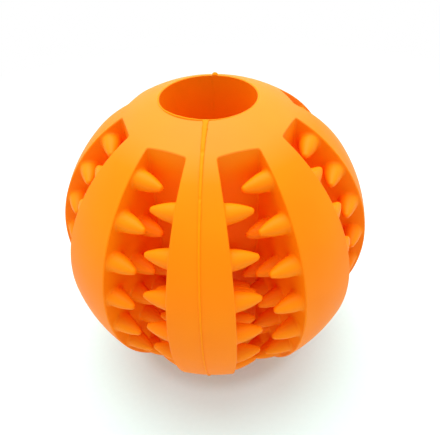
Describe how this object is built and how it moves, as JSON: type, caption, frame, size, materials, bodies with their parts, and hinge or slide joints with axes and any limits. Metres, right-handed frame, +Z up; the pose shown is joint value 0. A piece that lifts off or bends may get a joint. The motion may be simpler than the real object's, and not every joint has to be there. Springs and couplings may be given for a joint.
{
  "type": "treat dispensing ball",
  "caption": "Ribbed rubber chew ball with a straight bore for treats and deep meridian slots lined with blunt, interleaved teeth.",
  "frame": {"origin": "centre of the ball, midway along the treat bore", "axes": "+Z up along the treat bore, -Y at the front seam, halves meeting on the plane x = 0"},
  "size_m": [0.07, 0.0704, 0.067],
  "materials": {
    "ball_rubber": "satin",
    "seam_rubber": "satin"
  },
  "bodies": {
    "root": {"right_half": "ball_rubber", "left_half": "ball_rubber", "front_seam_bead": "seam_rubber", "rear_seam_bead": "seam_rubber", "right_slot_1_front_teeth": "ball_rubber", "right_slot_1_rear_teeth": "ball_rubber", "right_slot_2_front_teeth": "ball_rubber", "right_slot_2_rear_teeth": "ball_rubber", "right_slot_3_front_teeth": "ball_rubber", "right_slot_3_rear_teeth": "ball_rubber", "right_slot_4_front_teeth": "ball_rubber", "right_slot_4_rear_teeth": "ball_rubber", "left_slot_1_front_teeth": "ball_rubber", "left_slot_1_rear_teeth": "ball_rubber", "left_slot_2_front_teeth": "ball_rubber", "left_slot_2_rear_teeth": "ball_rubber", "left_slot_3_front_teeth": "ball_rubber", "left_slot_3_rear_teeth": "ball_rubber", "left_slot_4_front_teeth": "ball_rubber", "left_slot_4_rear_teeth": "ball_rubber"}
  },
  "joints": []
}
